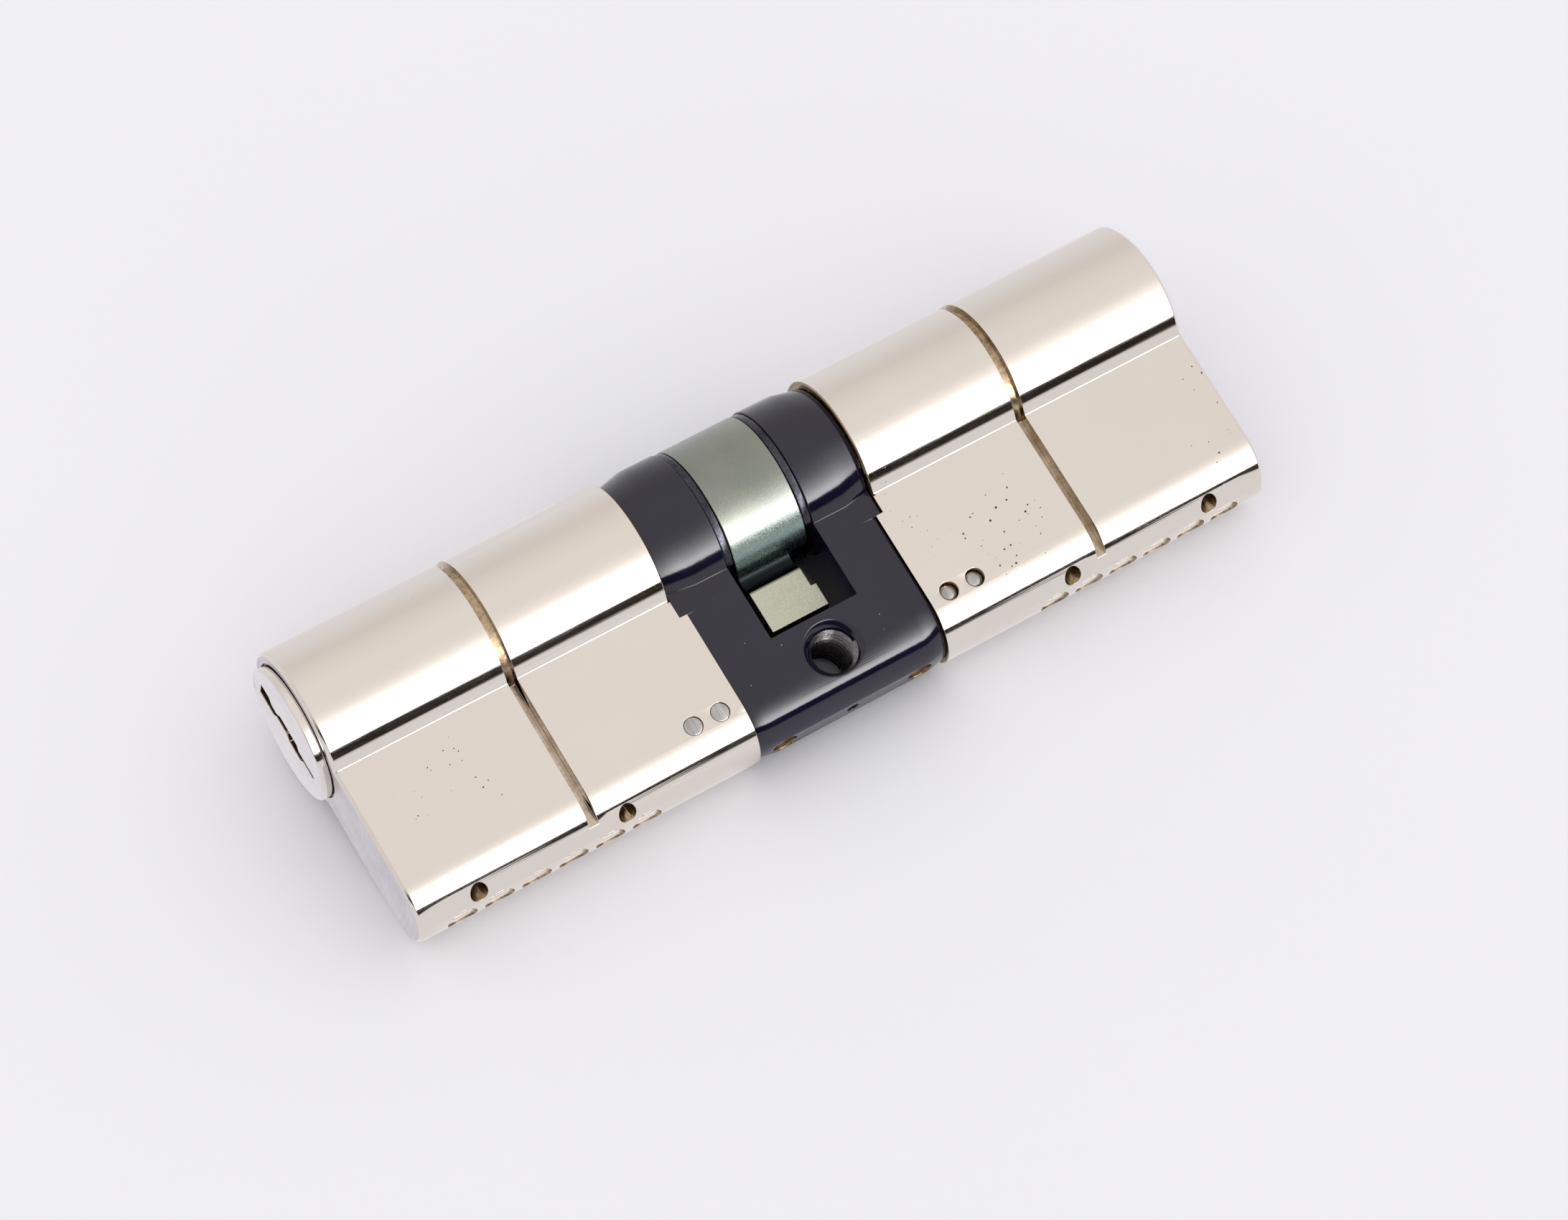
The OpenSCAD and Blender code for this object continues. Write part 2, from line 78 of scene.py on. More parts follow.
def objectSpace(tree, scale=(1, 1, 1), turn=(0, 0, 0)):
    coordinates = node(tree, "ShaderNodeTexCoord")
    mapping = node(tree, "ShaderNodeMapping")
    mapping.inputs["Scale"].default_value = scale
    mapping.inputs["Rotation"].default_value = turn
    tree.links.new(coordinates.outputs["Object"], mapping.inputs["Vector"])
    return mapping.outputs["Vector"]


def noise(tree, vector, scale, detail=3.0, roughness=0.5):
    made = node(tree, "ShaderNodeTexNoise", Scale=scale, Detail=detail, Roughness=roughness)
    tree.links.new(vector, made.inputs["Vector"])
    return made.outputs["Fac"]


def cells(tree, vector, scale):
    made = node(tree, "ShaderNodeTexVoronoi", Scale=scale)
    tree.links.new(vector, made.inputs["Vector"])
    return made.outputs["Distance"]


def between(tree, value, fromLow, fromHigh, toLow=0.0, toHigh=1.0):
    made = node(tree, "ShaderNodeMapRange", clamp=True)
    for key, number in (("From Min", fromLow), ("From Max", fromHigh), ("To Min", toLow), ("To Max", toHigh)):
        made.inputs[key].default_value = number
    tree.links.new(value, made.inputs["Value"])
    return made.outputs["Result"]


def combine(tree, operation, first, second):
    made = node(tree, "ShaderNodeMath", operation=operation)
    for socket, value in zip(made.inputs, (first, second)):
        if isinstance(value, (int, float)):
            socket.default_value = value
        else:
            tree.links.new(value, socket)
    return made.outputs["Value"]


def blendColour(tree, amount, first, second):
    made = node(tree, "ShaderNodeMix", data_type="RGBA")
    tree.links.new(amount, made.inputs["Factor"])
    for socket, value in ((made.inputs[6], first), (made.inputs[7], second)):
        if isinstance(value, tuple):
            socket.default_value = (*value, 1)
        else:
            tree.links.new(value, socket)
    return made.outputs[2]


def bump(tree, shader, height, distance, strength=1.0):
    made = node(tree, "ShaderNodeBump", Strength=strength, Distance=distance)
    tree.links.new(height, made.inputs["Height"])
    tree.links.new(made.outputs["Normal"], shader.inputs["Normal"])


def turnedRings(tree, scale):  # noise that only changes with the distance from the plug axis
    flat = node(tree, "ShaderNodeMapping")
    flat.inputs["Location"].default_value = (0, 0, -axisZ * mm)
    flat.inputs["Scale"].default_value = (0, 1, 1)
    tree.links.new(node(tree, "ShaderNodeTexCoord").outputs["Object"], flat.inputs["Vector"])
    radius = node(tree, "ShaderNodeVectorMath", operation="LENGTH")
    tree.links.new(flat.outputs["Vector"], radius.inputs[0])
    line = node(tree, "ShaderNodeCombineXYZ")
    tree.links.new(radius.outputs["Value"], line.inputs["X"])
    return noise(tree, line.outputs["Vector"], scale, 2.0, 0.6)


nickelLook = {
    "pale": (0.80, 0.755, 0.70),
    "warm": (0.765, 0.71, 0.645),
    "pit": (0.07, 0.055, 0.045),
    "polish": 0.045,       # roughness where the plating is clearest
    "brushed": 0.115,      # and along the brush lines
    "brushGrain": 5200,    # brush lines per metre, across
    "brushStretch": 0.012, # how much slower they change along the barrel
    "pitCells": 1300,      # places per metre where a pit may be
    "pitSize": 0.085,
    "pitPatches": 64,      # patches of pits per metre
    "relief": 0.00002,
}


def nickelPlate():
    look = nickelLook
    material, tree, shader = newMaterial("nickelPlate")
    plain = objectSpace(tree)
    along = objectSpace(tree, (look["brushStretch"], 1, 1))
    brush = noise(tree, along, look["brushGrain"], 2.0, 0.6)
    cloud = noise(tree, plain, 95, 4.0, 0.55)
    patches = noise(tree, plain, look["pitPatches"], 3.0)
    dots = cells(tree, plain, look["pitCells"])
    size = combine(tree, "MULTIPLY", between(tree, patches, 0.56, 0.70), look["pitSize"] * 2)
    pits = between(tree, combine(tree, "SUBTRACT", dots, size), -0.02, 0.02, 1, 0)
    pits = combine(tree, "MULTIPLY", pits, between(tree, patches, 0.57, 0.60))
    colour = blendColour(tree, cloud, look["warm"], look["pale"])
    colour = blendColour(tree, pits, colour, look["pit"])
    rough = between(tree, combine(tree, "ADD", brush, combine(tree, "MULTIPLY", cloud, 0.4)), 0.45, 0.95,
                    look["polish"], look["brushed"])
    height = combine(tree, "SUBTRACT", combine(tree, "MULTIPLY", brush, 0.22), pits)
    tree.links.new(colour, shader.inputs["Base Color"])
    tree.links.new(rough, shader.inputs["Roughness"])
    bump(tree, shader, height, look["relief"], 0.5)
    shader.inputs["Metallic"].default_value = 1.0
    return material


faceLook = {  # pale, dark, smooth, coarse, rings per metre
    "satin": ((0.63, 0.605, 0.655), (0.54, 0.515, 0.565), 0.20, 0.32, 2600),
    "plug": ((0.84, 0.81, 0.82), (0.72, 0.69, 0.72), 0.10, 0.22, 2600),
    "turned": ((0.60, 0.46, 0.29), (0.08, 0.055, 0.035), 0.08, 0.24, 6400),
}


def facedMetal(name, finish):  # an end face with the fine rings that turning leaves
    pale, dark, smooth, coarse, scale = faceLook[finish]
    material, tree, shader = newMaterial(name)
    rings = turnedRings(tree, scale)
    cloud = noise(tree, objectSpace(tree), 240, 4.0)
    amount = between(tree, combine(tree, "ADD", rings, combine(tree, "MULTIPLY", cloud, 0.25)), 0.42, 0.82)
    tree.links.new(blendColour(tree, amount, pale, dark), shader.inputs["Base Color"])
    tree.links.new(between(tree, cloud, 0.3, 0.7, smooth, coarse), shader.inputs["Roughness"])
    bump(tree, shader, rings, 0.00001, 0.5)
    shader.inputs["Metallic"].default_value = 1.0
    return material


brassLook = {"bright": (0.52, 0.40, 0.26), "dull": (0.20, 0.14, 0.085), "smooth": 0.12, "coarse": 0.32}
cutLook = {"bright": (0.66, 0.58, 0.49), "dull": (0.47, 0.38, 0.28), "smooth": 0.12, "coarse": 0.30}


def metal(name, bright, dull, smooth, coarse, grain=2600, stretch=(1, 1, 1), patch=420, relief=0.00002):
    material, tree, shader = newMaterial(name)
    fine = noise(tree, objectSpace(tree, stretch), grain, 4.0, 0.6)
    broad = noise(tree, objectSpace(tree), patch, 3.0)
    amount = between(tree, combine(tree, "ADD", fine, broad), 0.75, 1.25)
    tree.links.new(blendColour(tree, amount, bright, dull), shader.inputs["Base Color"])
    tree.links.new(between(tree, amount, 0, 1, smooth, coarse), shader.inputs["Roughness"])
    bump(tree, shader, fine, relief, 0.6)
    shader.inputs["Metallic"].default_value = 1.0
    return material


blackLook = {
    "deep": (0.0038, 0.0030, 0.0130),
    "grey": (0.0080, 0.0066, 0.0215),
    "dust": (0.36, 0.36, 0.40),
    "smooth": 0.055,
    "coarse": 0.11,
    "dustCells": 680,      # places per metre where a speck may be
    "dustSize": 0.05,
}


def blackOxide():
    look = blackLook
    material, tree, shader = newMaterial("blackOxide")
    plain = objectSpace(tree)
    cloud = noise(tree, plain, 260, 4.0)
    peel = noise(tree, plain, 1900, 3.0)
    patches = noise(tree, plain, 210, 1.0)
    dots = cells(tree, plain, look["dustCells"])
    dust = combine(tree, "MULTIPLY", between(tree, dots, look["dustSize"], look["dustSize"] * 0.6),
                   between(tree, patches, 0.52, 0.60))
    colour = blendColour(tree, cloud, look["deep"], look["grey"])
    tree.links.new(blendColour(tree, dust, colour, look["dust"]), shader.inputs["Base Color"])
    tree.links.new(between(tree, cloud, 0.3, 0.7, look["smooth"], look["coarse"]), shader.inputs["Roughness"])
    bump(tree, shader, combine(tree, "ADD", peel, dust), 0.000009, 0.4)
    shader.inputs["Specular IOR Level"].default_value = 0.6
    return material


camLow, camHigh = boxOf("cam")
zincLook = {
    "ring": (0.25, 0.272, 0.248),
    "olive": (0.32, 0.335, 0.28),
    "teal": (0.30, 0.42, 0.40),
    # neck: painted shade, near black, on the ring where it meets the nose
    "neck": (0.012, 0.015, 0.015),
    "nose": (0.54, 0.56, 0.45),
    # noseDullAndShade: the nose's duller grain, also painted shade towards +X
    "noseDullAndShade": (0.36, 0.38, 0.30),
    "tealTop": 4.6,        # plug axis down to where the ring turns teal
    "neckShadeTop": 7.1,        # to where the painted shade starts, a near-black band across the neck
    "noseTop": 9.7,        # and to where the nose's paler film starts
    "smooth": 0.20,
    "coarse": 0.36,
}


def zincPassivate():
    look = zincLook
    material, tree, shader = newMaterial("zincPassivate")
    plain = objectSpace(tree)
    film = noise(tree, plain, 130, 3.0)
    grain = noise(tree, plain, 5200, 3.0, 0.65)
    split = node(tree, "ShaderNodeSeparateXYZ")
    tree.links.new(node(tree, "ShaderNodeTexCoord").outputs["Object"], split.inputs[0])
    height = split.outputs["Z"]
    ring = blendColour(tree, between(tree, film, 0.35, 0.7), look["ring"], look["olive"])
    tealFrom = (axisZ - look["tealTop"]) * mm
    ring = blendColour(tree, between(tree, height, tealFrom, tealFrom - 2.5 * mm), ring, look["teal"])
    # painted shade: the nose darkens towards +X, added to its real film and grain variation
    across = combine(tree, "MULTIPLY", split.outputs["X"], 60)
    grainAndShade = combine(tree, "ADD", combine(tree, "ADD", film, grain), across)
    nose = blendColour(tree, between(tree, grainAndShade, 0.75, 1.3), look["nose"], look["noseDullAndShade"])
    # paints shade: the ring goes near black across the neck, down to where the nose's film starts
    neckShadeFrom = (axisZ - look["neckShadeTop"]) * mm
    ring = blendColour(tree, between(tree, height, neckShadeFrom, neckShadeFrom - 0.7 * mm), ring, look["neck"])
    noseFrom = (axisZ - look["noseTop"]) * mm
    colour = blendColour(tree, between(tree, height, noseFrom, noseFrom - 0.3 * mm), ring, nose)
    tree.links.new(colour, shader.inputs["Base Color"])
    rough = between(tree, grain, 0.35, 0.7, look["smooth"], look["coarse"])
    tree.links.new(rough, shader.inputs["Roughness"])
    bump(tree, shader, grain, 0.00002, 0.5)
    shader.inputs["Metallic"].default_value = 1.0
    return material


nickel = nickelPlate()
satin = facedMetal("satinNickel", "satin")
plugFace = facedMetal("plugFace", "plug")
turned = facedMetal("turnedBrass", "turned")
brass = metal("bareBrass", **brassLook)
sawn = metal("sawnBrass", **cutLook)
black = blackOxide()
zinc = zincPassivate()
steel = metal("groundSteel", (0.56, 0.56, 0.56), (0.36, 0.35, 0.34), 0.2, 0.42, stretch=(1, 1, 0.06))
springSteel = metal("springSteel", (0.50, 0.51, 0.53), (0.30, 0.30, 0.31), 0.18, 0.34, grain=6000)
clipSteel = metal("clipSteel", (0.085, 0.085, 0.10), (0.035, 0.035, 0.045), 0.14, 0.32, grain=3600)
threadSteel = metal("cutThread", (0.24, 0.23, 0.235), (0.09, 0.086, 0.09), 0.14, 0.26, grain=3600)
print("materials made")


def addLoop(bm, points, closed=True):
    verts = [bm.verts.new(point) for point in points]
    first = 0 if closed else 1
    edges = [bm.edges.new((verts[i - 1], verts[i])) for i in range(first, len(verts))]
    return verts, edges


def loft(sections):  # a closed skin through loops of the same count
    bm = bmesh.new()
    loops = [addLoop(bm, section) for section in sections]
    for (_, before), (_, after) in zip(loops, loops[1:]):
        bmesh.ops.bridge_loops(bm, edges=before + after)
    for verts, _ in (loops[0], loops[-1]):
        bm.faces.new(verts)
    bmesh.ops.recalc_face_normals(bm, faces=bm.faces)
    return bm


def lathe(points, centre, axis="x", closed=False, steps=128):  # points are (place along the axis, radius)
    bm = bmesh.new()
    lay = {"x": lambda a, r: (a, 0, r), "y": lambda a, r: (r, a, 0), "z": lambda a, r: (r, 0, a)}[axis]
    verts, edges = addLoop(bm, [Vector(centre) + Vector(lay(a, r)) for a, r in points], closed)
    turnAxis = {"x": (1, 0, 0), "y": (0, 1, 0), "z": (0, 0, 1)}[axis]
    bmesh.ops.spin(bm, geom=verts + edges, cent=centre, axis=turnAxis, angle=2 * math.pi, steps=steps,
                   use_merge=True)
    bmesh.ops.remove_doubles(bm, verts=bm.verts, dist=0.0001)
    bmesh.ops.recalc_face_normals(bm, faces=bm.faces)
    return bm


def rod(radius, start, end, centre, axis="x", steps=128):
    return lathe([(start, 0), (start, radius), (end, radius), (end, 0)], centre, axis, steps=steps)


def block(low, high):
    bm = bmesh.new()
    low, high = Vector(low), Vector(high)
    place = Matrix.Translation((low + high) / 2) @ Matrix.Diagonal((*(high - low), 1))
    bmesh.ops.create_cube(bm, size=1, matrix=place)
    return bm


def joined(*parts):  # several closed shapes in one mesh
    bm = bmesh.new()
    for part in parts:
        mesh = bpy.data.meshes.new("part")
        part.to_mesh(mesh)
        bm.from_mesh(mesh)
        bpy.data.meshes.remove(mesh)
        part.free()
    return bm


def shape(name, bm, material):
    mesh = bpy.data.meshes.new(name)
    bm.to_mesh(mesh)
    bm.free()
    mesh.materials.append(material)
    made = bpy.data.objects.new(name, mesh)
    bpy.context.scene.collection.objects.link(made)
    return made


def combineShapes(piece, tool, operation="DIFFERENCE"):
    change = piece.modifiers.new("change", "BOOLEAN")
    change.operation = operation
    change.object = tool
    change.solver = "EXACT"
    change.material_mode = "TRANSFER"
    evaluated = piece.evaluated_get(bpy.context.evaluated_depsgraph_get())
    mesh = bpy.data.meshes.new_from_object(evaluated)
    piece.modifiers.clear()
    old = piece.data
    piece.data = mesh
    bpy.data.meshes.remove(old)
    bpy.data.objects.remove(tool)
    return piece


def cut(piece, *parts, material=None, operation="DIFFERENCE"):
    return combineShapes(piece, shape("tool", joined(*parts), material or piece.data.materials[0]), operation)


def roundEdges(piece, width, steepest=28, segments=2):  # breaks every sharp edge by a small radius
    bm = bmesh.new()
    bm.from_mesh(piece.data)
    bmesh.ops.remove_doubles(bm, verts=bm.verts, dist=0.004)
    bmesh.ops.dissolve_degenerate(bm, edges=bm.edges, dist=0.002)
    bmesh.ops.dissolve_limit(bm, angle_limit=math.radians(0.4), verts=bm.verts, edges=bm.edges,
                             delimit={"MATERIAL"})
    sharp = [e for e in bm.edges if len(e.link_faces) == 2 and e.calc_face_angle(0) > math.radians(steepest)]
    bmesh.ops.bevel(bm, geom=sharp, offset=width, segments=segments, profile=0.5, affect="EDGES",
                    material=-1, clamp_overlap=False)
    bmesh.ops.triangulate(bm, faces=[f for f in bm.faces if len(f.verts) > 4])
    bm.to_mesh(piece.data)
    bm.free()


def finishPiece(piece, name, body, slot, *replaced):
    piece.data.transform(Matrix.Scale(mm, 4))
    piece.name = piece.data.name = name
    for face in piece.data.polygons:
        face.use_smooth = True
    weights = piece.modifiers.new("normals", "WEIGHTED_NORMAL")
    weights.weight = 100
    weights.keep_sharp = True
    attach(piece, body)
    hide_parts(*replaced)
    print("made", name, len(piece.data.polygons), "faces")
    return piece


def mirrored(piece, side):  # half a is half b turned to the other end
    if side == "a":
        bm = bmesh.new()
        bm.from_mesh(piece.data)
        bmesh.ops.scale(bm, vec=(-1, 1, 1), verts=bm.verts)
        bmesh.ops.reverse_faces(bm, faces=bm.faces)
        bm.to_mesh(piece.data)
        bm.free()
    return piece


profileLook = {
    "legRadius": 5.0,
    "cornerRadius": 0.16,  # inside corner between barrel and leg
    "barrelSteps": 150,
    "cornerSteps": 8,
    "legSteps": 72,
}
legRadius = profileLook["legRadius"]
roundZ = halfLow.z + legRadius


def arc(centre, radius, start, end, steps):  # angles in radians from +Y towards +Z
    turns = [start + (end - start) * k / steps for k in range(steps + 1)]
    return [(centre[0] + radius * math.cos(t), centre[1] + radius * math.sin(t)) for t in turns]


def profile(x, inset=0.0):  # the euro profile's outline at x
    look = profileLook
    out = legRadius + look["cornerRadius"]
    down = math.sqrt((barrelRadius + look["cornerRadius"]) ** 2 - out ** 2)
    lean = math.atan2(down, out)
    corner = look["cornerRadius"] + inset
    steps = look["cornerSteps"]
    points = arc((0, axisZ), barrelRadius - inset, -lean, math.pi + lean, look["barrelSteps"])[1:-1]
    points += arc((-out, axisZ - down), corner, lean, 0, steps)
    points += arc((0, roundZ), legRadius - inset, math.pi, 2 * math.pi, look["legSteps"])
    points += arc((out, axisZ - down), corner, math.pi, math.pi - lean, steps)
    return [(x, y, z) for y, z in points]


capLow, capHigh = boxOf("chamber_caps_b")
guardLow, guardHigh = boxOf("drill_guards_b")
crossLow, crossHigh = boxOf("cross_pins_b")
retainLow, retainHigh = boxOf("retaining_pins")
linkLow, linkHigh = boxOf("link_bar_b")
plugLow = boxOf("plug_b")[0]
halfLook = {
    "chamfer": 0.35,       # outer end
    "edge": 0.05,          # broken edges
    "stepX": 12.0,         # where the barrel starts, past the leg
    "stepZ": 10.2,         # height of that step
    "innerChamfer": 0.16,  # bare brass chamfer where the barrel starts
    "snapAt": 20.0,        # outer end to the middle of the snap-off cut
    "snapWidth": 1.05,
    "snapDepth": 0.9,      # in the barrel
    "snapSide": 1.7,       # in the flat sides
    "plugRadius": 6.35,
    "recessRadius": 7.4,
    "recessDepth": 0.4,
    "chamberRadius": 1.5,
    "guardHole": 9.0,
    "clearance": 0.01,     # round caps and pins
    "linkClearance": 0.05,
    "over": 1.0,           # how far each cutter runs past the face that it cuts
}
chamberX = [sum(boxOf(f"key_pin_b{i}")[k].x for k in (0, 1)) / 2 for i in pinNumbers]


def chamberTool(x):
    look = halfLook
    capRadius = (capHigh.y - capLow.y) / 2 + look["clearance"]
    capTop = capHigh.z + look["clearance"]
    low = halfLow.z - look["over"]
    return lathe([(low, 0), (low, capRadius), (capTop, capRadius), (capTop, look["chamberRadius"]),
                  (axisZ, look["chamberRadius"]), (axisZ, 0)], (x, 0, 0), "z", steps=64)


def guardPlaces():
    radius = (guardHigh.y - guardLow.y) / 2
    y = (guardLow.y + guardHigh.y) / 2
    return radius, [(guardLow.x + radius, y), (guardHigh.x - radius, y)]


def crossPlaces():
    radius = (crossHigh.z - crossLow.z) / 2
    return radius, [crossLow.x + radius, crossHigh.x - radius], (crossLow.z + crossHigh.z) / 2


def snapTool():
    look = halfLook
    x = endX - look["snapAt"]
    half = look["snapWidth"] / 2
    over = look["over"]
    wide = barrelRadius + over
    core = legRadius - look["snapSide"]
    slab = shape("snap", block((x - half, -wide, halfLow.z - over), (x + half, wide, axisZ + wide)), sawn)
    inside = rod(barrelRadius - look["snapDepth"], x - 2 * half, x + 2 * half, (0, 0, axisZ))
    cut(slab, inside, material=brass)
    return cut(slab, block((x - 2 * half, -core, halfLow.z - 2 * over), (x + 2 * half, core, axisZ - over)))


def halfBody(side):
    look = halfLook
    over = look["over"]
    piece = shape("half", loft([profile(halfLow.x), profile(endX - look["chamfer"]),
                                profile(endX, look["chamfer"])]), nickel)
    for material in (turned, satin):
        piece.data.materials.append(material)
    for face in piece.data.polygons:
        face.material_index = 1 if face.normal.x < -0.9 else 2 if face.normal.x > 0.9 else 0
    wide = barrelRadius + over
    guardRadius, guards = guardPlaces()
    crossRadius, crosses, crossZ = crossPlaces()
    gap = look["linkClearance"]
    cut(piece, lathe([(0, 0), (0, look["plugRadius"]), (endX - look["recessDepth"], look["plugRadius"]),
                      (endX - look["recessDepth"], look["recessRadius"]), (endX + over, look["recessRadius"]),
                      (endX + over, 0)], (0, 0, axisZ)), material=turned)
    low = halfLow.z
    cut(piece, *[chamberTool(x) for x in chamberX], material=brass)
    cut(piece, *[rod(guardRadius + look["clearance"], low - over, low + look["guardHole"], (x, y, 0), "z", 48)
                 for x, y in guards], material=brass)
    cut(piece, block((linkLow.x - gap, linkLow.y - gap, linkLow.z - gap),
                     (linkHigh.x + gap, linkHigh.y + gap, linkHigh.z + gap)), material=brass)
    cut(piece, block((0, -wide, look["stepZ"]), (look["stepX"], wide, axisZ + wide)), material=turned)
    chamfer = look["innerChamfer"]
    start = look["stepX"]
    corner = [(start - chamfer, barrelRadius - 2 * chamfer), (start + 2 * chamfer, barrelRadius + chamfer),
              (start - chamfer, barrelRadius + chamfer)]
    cut(piece, lathe(corner, (0, 0, axisZ), closed=True), material=turned)
    cut(piece, *[rod(crossRadius + look["clearance"], -wide, wide, (x, 0, crossZ), "y", 48) for x in crosses],
        material=brass)
    combineShapes(piece, snapTool())
    roundEdges(piece, look["edge"])
    mirrored(piece, side)
    return finishPiece(piece, f"halfShell_{side}", "housing", "nickel_plate", f"half_body_{side}")


for side in sides:
    halfBody(side)


capLook = {
    "edge": 0.05,
    "sides": 64,
    "extraSink": 0.13,     # how much deeper the caps' faces sit than their rims
}


def chamberCaps(side):
    radius = (capHigh.y - capLow.y) / 2
    caps = [rod(radius, halfLow.z - 1, capHigh.z, (x, 0, 0), "z", capLook["sides"]) for x in chamberX]
    piece = shape("caps", joined(*caps), brass)
    round = roundZ - capLow.z - capLook["extraSink"]
    cut(piece, rod(round, halfLow.x, endX, (0, 0, roundZ), "x", 2 * profileLook["legSteps"]),
        operation="INTERSECT", material=nickel)
    roundEdges(piece, capLook["edge"])
    mirrored(piece, side)
    return finishPiece(piece, f"chamberPlugs_{side}", "housing", "brass", f"chamber_caps_{side}")


pinLook = {
    "edge": 0.12,
    "domed": 0.42,         # the recessed pins have rounder ends
    "sides": 48,
    "dimple": 0.8,         # depth of the drilled point in each drill guard's end
}


def pinGroup(name, parts, material, slot, replaced, side="b", edge=pinLook["edge"]):
    piece = shape(name, joined(*parts), material)
    roundEdges(piece, edge)
    mirrored(piece, side)
    return finishPiece(piece, name, "housing", slot, replaced)


def drillGuard(x, y):
    radius = guardPlaces()[0]
    top = guardHigh.z
    return lathe([(guardLow.z + pinLook["dimple"], 0), (guardLow.z, radius), (top, radius), (top, 0)],
                 (x, y, 0), "z", steps=pinLook["sides"])


retainRadius = (retainHigh.y - retainLow.y) / 2
retainX = retainHigh.x - retainRadius
for side in sides:
    chamberCaps(side)
    ends = boxOf(f"cross_pins_{side}")[1].y
    crossRadius, crosses, crossZ = crossPlaces()
    rods = [rod(crossRadius, -ends, ends, (x, 0, crossZ), "y", pinLook["sides"]) for x in crosses]
    edge = pinLook["domed"] if side == "b" else pinLook["edge"]
    pinGroup(f"crossPins_{side}", rods, steel, "steel", f"cross_pins_{side}", side, edge)
    guards = [drillGuard(x, y) for x, y in guardPlaces()[1]]
    pinGroup(f"drillGuards_{side}", guards, sawn, "steel", f"drill_guards_{side}", side, 0.05)
rods = [rod(retainRadius, retainLow.z, retainHigh.z, (k * retainX, 0, 0), "z", pinLook["sides"])
        for k in (-1, 1)]
pinGroup("retainingPins", rods, brass, "brass", "retaining_pins")


bridgeLook = {
    "bevelLength": 2.3,
    "bevelSide": 0.4,
    "bevelArch": 0.7,
    "legHalf": 11.1,       # half length at the leg
    "windowHalf": 5.05,
    "windowFloor": 4.0,
    "sinkRadius": 3.2,     # countersink of the fixing screw hole
    "screwRadius": 2.5,
    "setHoleRadius": 0.65,
    "setHoleTop": 1.6,
    "edge": 0.11,
}


def legBlock(x1, top, inset, straight):  # the leg's outline, drawn in at both ends
    def outline(x, inset):
        width = legRadius - inset
        points = [(width, top), (-width, top)]
        points += arc((0, roundZ), width, math.pi, 2 * math.pi, profileLook["legSteps"])
        return [(x, y, z) for y, z in points]
    return loft([outline(-x1, inset), outline(-straight, 0), outline(straight, 0), outline(x1, inset)])


def bridgePiece():
    look = bridgeLook
    topHalf = bridgeHigh.x
    archRadius = bridgeHigh.y
    straight = look["legHalf"] - look["bevelLength"]
    wide = barrelRadius + 1
    arch = lathe([(-topHalf, 0), (-topHalf, archRadius - look["bevelArch"]), (-straight, archRadius),
                  (straight, archRadius), (topHalf, archRadius - look["bevelArch"]), (topHalf, 0)],
                 (0, 0, axisZ), steps=160)
    piece = shape("bridge", arch, black)
    cut(piece, legBlock(look["legHalf"], halfLook["stepZ"], look["bevelSide"], straight), operation="UNION")
    slab = [[(x, -w, z) if k == 0 else (x, w, z) for z, k in
             ((halfLook["stepZ"], 0), (axisZ, 0), (axisZ, 1), (halfLook["stepZ"], 1))]
            for x, w in ((-topHalf, legRadius - look["bevelSide"]), (-straight, legRadius),
                         (straight, legRadius), (topHalf, legRadius - look["bevelSide"]))]
    cut(piece, loft(slab), operation="UNION")
    cut(piece, rod(halfLook["plugRadius"], -topHalf - 1, topHalf + 1, (0, 0, axisZ)))
    half = look["windowHalf"]
    cut(piece, block((-half, -wide, look["windowFloor"]), (half, wide, axisZ + wide)))
    cut(piece, block((-topHalf - 1, -wide, halfLow.z - 1), (topHalf + 1, wide, bridgeLow.z)))
    screwRadius, sinkRadius = look["screwRadius"], look["sinkRadius"]
    sink = sinkRadius - screwRadius
    hole = [(k * (legRadius + 1), sinkRadius + 1) for k in (-1, 1)]
    wall = [(-legRadius + sink, screwRadius), (legRadius - sink, screwRadius)]
    outline = [(hole[0][0], 0), hole[0]] + wall + [hole[1], (hole[1][0], 0)]
    cut(piece, lathe(outline, (0, 0, 0), "y", steps=72))
    gap = halfLook["linkClearance"]
    low = halfLow.z - 1
    reach = retainRadius + halfLook["clearance"]
    holes = [rod(reach, low, retainHigh.z + gap, (k * retainX, 0, 0), "z", 48) for k in (-1, 1)]
    cut(piece, *holes, material=brass)
    cut(piece, rod(look["setHoleRadius"], low, bridgeLow.z + look["setHoleTop"], (0, 0, 0), "z", 32))
    for ends in ((linkLow.x, wide * 2), (-wide * 2, -linkLow.x)):
        slotLow = (ends[0], linkLow.y - gap, linkLow.z - gap)
        cut(piece, block(slotLow, (ends[1], linkHigh.y + gap, linkHigh.z + gap)))
    roundEdges(piece, look["edge"], segments=3)
    return finishPiece(piece, "bridgeBlock", "housing", "black_oxide", "bridge")


bridgePiece()


threadLook = {
    "pitch": 0.8,
    "crest": 0.34,         # height of the ridges
    "flat": 0.1,           # width of their tops
    "reach": 4.1,          # half length of the threaded stretch
    "stepsPerTurn": 40,
    "root": 0.04,          # how far the ridges reach into the wall
}


